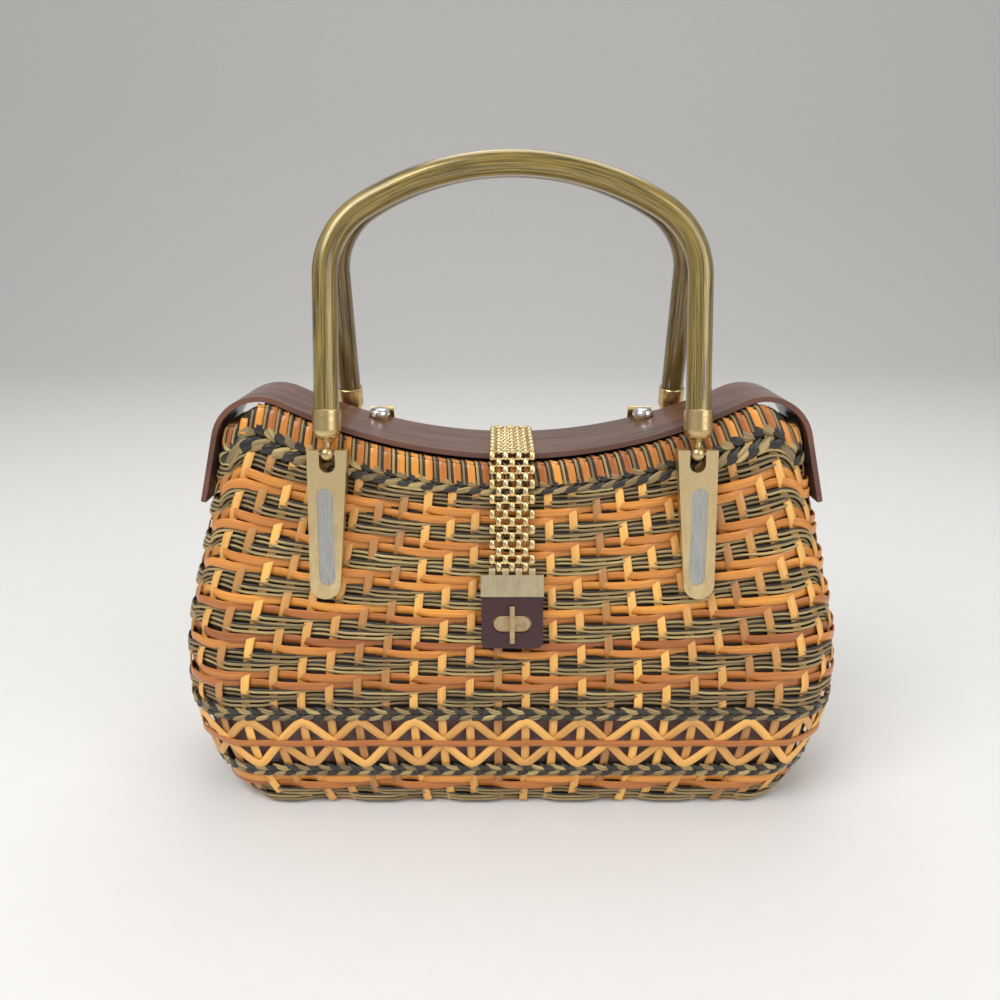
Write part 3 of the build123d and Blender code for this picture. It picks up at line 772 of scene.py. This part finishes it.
            def at(t: float, y=y, half=half, number=number):
                x = half * (2 * t - 1)
                wave = math.cos(math.pi * (x / 12.0 + number))
                return Vector((x, y, 1.6 + 0.55 * wave)) * MM, Vector((0, 0, -1))

            base.cane(at, 90, 1.9, 0.9)
        for number in range(-11, 12):
            x = number * 12.0 + 6.0
            reach = half_depth(1.5) - 4
            flat_x = half_width(1.5) - CORNER * half_depth(1.5)
            if abs(x) > flat_x:
                continue
            base.cane(
                lambda t, x=x, r=reach: (
                    Vector((x, r * (2 * t - 1), 1.7)) * MM,
                    Vector((0, 0, -1)),
                ),
                20, 3.6, 0.9,
            )
        obj = base.object(self.paint, "orange_cane", "basket")
        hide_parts("basket", "rim_binding")
        return obj

    def build(self) -> None:
        """Makes every piece of the basket."""
        self.weavers()
        self.stakes()
        self.lattice()
        self.braids()
        self.lashing()
        self.core()
        self.base()


@dataclass
class Handles:
    """The two arched tubes, with sizes in millimetres."""

    paint: Paint
    rise: float = 113.7
    arch_rise: float = 44.0
    shoulder: float = 32.0
    pivot_x: float = 74.3
    pivot_y: float = 31.0
    pivot_z: float = 156.0
    socket: float = 10.0
    top_y: float = 5.4
    tube: float = 5.0
    steps: int = 160
    sides: int = 24

    def __post_init__(self) -> None:
        """Works out the arch's arcs."""
        self.inner = self.pivot_x - self.shoulder
        self.top_r = (self.inner**2 + self.arch_rise**2 - self.shoulder**2) / (
            2 * (self.arch_rise - self.shoulder)
        )
        self.turn = math.atan2(self.top_r - self.arch_rise, self.inner)
        self.spring = self.rise - self.arch_rise

    def arch(self, t: float) -> tuple[float, float]:
        """A point on the arch's middle line, across and up from the pivots' middle."""
        straight = self.spring - self.socket
        lengths = (straight, self.shoulder * self.turn, self.top_r * (math.pi / 2 - self.turn))
        half = sum(lengths)
        side = -1 if t < 0.5 else 1
        run = half * (1 - abs(2 * t - 1))
        if run <= straight:
            return side * self.pivot_x, self.socket + run
        run -= straight
        if run <= lengths[1]:
            a = run / self.shoulder
            x = self.inner + self.shoulder * math.cos(a)
            return side * x, self.spring + self.shoulder * math.sin(a)
        a = self.turn + (run - lengths[1]) / self.top_r
        return side * self.top_r * math.cos(a), self.rise - self.top_r * (1 - math.sin(a))

    def build(self) -> None:
        """Makes both tubes."""
        lean = math.asin((self.pivot_y - self.top_y) / self.rise)
        for number, end in enumerate((-1, 1)):
            tube = Canes(f"handle_tube_{END_NAMES[number]}", 20 + number)

            def at(t: float, end: int = end) -> tuple[Vector, Vector]:
                x, up = self.arch(t)
                y = end * (self.pivot_y - up * math.sin(lean))
                point = Vector((x, y, self.pivot_z + up * math.cos(lean))) * MM
                return point, Vector((0, end * math.cos(lean), math.sin(lean)))

            tube.cane(at, self.steps, 2.0, 2.0, False, self.sides)
            self.round_out(tube, at)
            obj = tube.object(self.paint, "handle", f"{END_NAMES[number]}_handle")
            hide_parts(f"handle_{END_NAMES[number]}")

    def round_out(self, tube: Canes, at: PathFn) -> None:
        """Turns the thin guide cane into a true round tube of the handle's radius."""
        last = self.steps
        centres = [at(i / last) for i in range(last + 1)]
        ahead = [
            (centres[min(last, i + 1)][0] - centres[max(0, i - 1)][0]).normalized()
            for i in range(last + 1)
        ]
        for number, vert in enumerate(tube.bm.verts):
            i, j = number % (last + 1), number // (last + 1)
            point, normal = centres[i]
            across = ahead[i].cross(normal).normalized()
            angle = 2 * math.pi * j / self.sides
            ring = across * math.cos(angle) + normal * math.sin(angle)
            vert.co = point + ring * self.tube * MM
            vert[tube.girth] = math.sin(angle / 2) * 1.6


class Strap:
    """The mesh of small beads, in one length for each body it rides."""

    def __init__(self, paint: Paint, joints: Sequence[dict]) -> None:
        """Reads the strap's line from the joints.

        Args:
            paint: gives the finish.
            joints: the frame's joints.
        """
        self.paint = paint
        places = {j["name"]: Vector(j["pos_m"]) for j in joints if j["type"] == "hinge"}
        names = ("strap_lift", "strap_bend_2", "strap_bend_3", "strap_bend_4", "tab_bend")
        self.turns = [places[name] for name in names]
        self.back = Vector((0, 0.0193, self.turns[0].z))

    def build(self) -> None:
        """Makes the five lengths of mesh."""
        over_lid = (self.back, self.turns[0], 14, "lid", "mesh_over_lid")
        drops = [
            (self.turns[i], self.turns[i + 1], 4, f"mesh_{i + 1}", f"mesh_drop_{i + 1}")
            for i in range(4)
        ]
        first = 0
        for start, end, rows, body, node in (over_lid, *drops):
            self.length(start, end, rows, first, body, node)
            first += rows

    def length(
        self, start: Vector, end: Vector, rows: int, first: int, body: str, node: str
    ) -> None:
        """Makes one length.

        Args:
            start: its first pin.
            end: its last pin.
            rows: rows of beads between them.
            first: the number of its first row.
            body: the body it rides.
            node: the solid it stands for.
        """
        bm = bmesh.new()
        line = (end - start) / rows
        out = Vector((0, -line.z, line.y)).normalized()
        if out.y > 0 or (abs(out.y) < 0.2 and out.z < 0):
            out = -out
        for row in range(rows):
            count = 3 if (row + first) % 2 else 4
            for column in range(count):
                x = (column - (count - 1) / 2) * 5.5 * MM
                middle = start + line * (row + 0.5) + Vector((x, 0, 0))
                ball = bmesh.ops.create_uvsphere(bm, u_segments=12, v_segments=10, radius=1.0)
                for vert in ball["verts"]:
                    a, b, c = vert.co
                    ring = math.sqrt(max(1e-9, 1 - c * c)) ** -0.45
                    reach = Vector((a * ring * 1.35 * MM, 0, 0))
                    reach += line.normalized() * (c * 2.1 * MM) + out * (b * ring * 1.3 * MM)
                    vert.co = middle + reach
        for pin in range(rows + 1):
            wire = bmesh.ops.create_cone(
                bm, cap_ends=True, segments=8, radius1=0.5 * MM, radius2=0.5 * MM, depth=18 * MM
            )
            for vert in wire["verts"]:
                a, b, c = vert.co
                vert.co = start + line * pin + Vector((c, a, b))
        for face in bm.faces:
            face.smooth = True
        mesh = bpy.data.meshes.new(f"beads_{node}")
        bm.to_mesh(mesh)
        bm.free()
        obj = bpy.data.objects.new(f"beads_{node}", mesh)
        bpy.context.scene.collection.objects.link(obj)
        self.paint.apply(obj, "bead")
        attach(obj, body)
        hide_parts(node)


class Fittings:
    """The solids that show as they are, with soft edges and their finish."""

    BEVELS = {"plate": 0.0005, "tab": 0.0006, "clamp": 0.0003, "lock": 0.0003, "lid": 0.0004}

    def __init__(self, paint: Paint, nodes: dict[str, bpy.types.Object]) -> None:
        """Keeps the nodes.

        Args:
            paint: gives the finishes.
            nodes: the frame's solids by name.
        """
        self.paint = paint
        self.nodes = nodes

    def finish_of(self, node: str) -> str | None:
        """The finish that a node takes."""
        table = (
            ("handle_plate", "plate"), ("plate_inlay", "inlay"), ("ferrule", "ferrule"),
            ("hinge_pin", "steel"), ("hinge", "plate"), ("strap_anchor", "plate"),
            ("handle_pin", "steel"), ("backing", "steel"), ("lock_backing", "steel"),
            ("lid_stud", "chrome"), ("strap_clamp", "clamp"), ("strap_tab", "tab"),
            ("lock_base", "lock"), ("turn_knob", "lock"), ("lining", "lining"), ("lid", "lid"),
        )
        return next((finish for start, finish in table if node.startswith(start)), None)

    def build(self) -> None:
        """Paints and softens each shown solid."""
        for name, obj in self.nodes.items():
            finish = self.finish_of(name)
            if finish is None:
                continue
            self.paint.apply(obj, finish)
            width = self.BEVELS.get(finish)
            if width:
                bevel = obj.modifiers.new("soft_edges", "BEVEL")
                bevel.width, bevel.segments = width, 3
                bevel.limit_method, bevel.angle_limit = "ANGLE", math.radians(35)
                bevel.harden_normals = False


class Studio:
    """Floor, light and camera."""

    def __init__(self, paint: Paint) -> None:
        """Keeps the paint.

        Args:
            paint: gives the floor's finish.
        """
        self.paint = paint

    def floor(self) -> None:
        """Adds a pale floor that curves up behind."""
        bm = bmesh.new()
        grid = bmesh.ops.create_grid(bm, x_segments=8, y_segments=60, size=1.0)
        for vert in grid["verts"]:
            run = (vert.co.y + 1) * 3.0 - 1.6
            side = vert.co.x * 4.0
            turn = min(max(0.0, (run - 1.2) / 1.0), math.pi / 2)
            past = max(0.0, run - 1.2 - math.pi / 2)
            vert.co = Vector(
                (side, min(run, 1.2) + math.sin(turn), 1 - math.cos(turn) + past)
            )
        for face in bm.faces:
            face.smooth = True
        mesh = bpy.data.meshes.new("floor")
        bm.to_mesh(mesh)
        bm.free()
        obj = bpy.data.objects.new("floor", mesh)
        bpy.context.scene.collection.objects.link(obj)
        obj.data.materials.append(Shader("floor", FLOOR).build())

    def lamp(self, place: Vector, size: float, power: float) -> None:
        """Adds a soft light aimed at the bag.

        Args:
            place: where it stands.
            size: its side.
            power: its strength in watts.
        """
        data = bpy.data.lights.new("soft_light", "AREA")
        data.size, data.energy = size, power
        obj = bpy.data.objects.new("soft_light", data)
        obj.location = place
        aim = Vector((0, 0, 0.12)) - place
        obj.rotation_euler = aim.to_track_quat("-Z", "Y").to_euler()
        bpy.context.scene.collection.objects.link(obj)

    def camera(self) -> None:
        """Adds the camera."""
        data = bpy.data.cameras.new("camera")
        data.sensor_width, data.lens = 36.0, 30.3
        data.clip_start, data.clip_end = 0.01, 100
        obj = bpy.data.objects.new("camera", data)
        obj.location = Vector((-5.0, -358.5, 240.5)) * MM
        obj.rotation_euler = (math.radians(90 - 17.6), 0, 0)
        bpy.context.scene.collection.objects.link(obj)
        bpy.context.scene.camera = obj

    def build(self) -> None:
        """Makes the studio."""
        self.floor()
        self.camera()
        self.lamp(Vector((-0.55, -0.55, 1.0)), 0.7, 8.0)
        self.lamp(Vector((0.8, -0.7, 0.7)), 0.9, 5.0)
        self.lamp(Vector((0.1, 0.5, 1.2)), 0.9, 5.0)
        world = bpy.data.worlds.new("studio")
        world.use_nodes = True
        world.node_tree.nodes["Background"].inputs["Color"].default_value = (1, 1, 1, 1)
        world.node_tree.nodes["Background"].inputs["Strength"].default_value = 0.45
        bpy.context.scene.world = world
        view = bpy.context.scene.view_settings
        view.view_transform, view.look = "Standard", "None"


def main() -> None:
    """Builds everything around the frame."""
    logging.basicConfig(level=logging.INFO)
    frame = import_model()
    paint = Paint()
    Basket(paint).build()
    Handles(paint).build()
    Strap(paint, frame["joints"]).build()
    Fittings(paint, frame["nodes"]).build()
    Studio(paint).build()


if __name__ == "__main__":
    main()
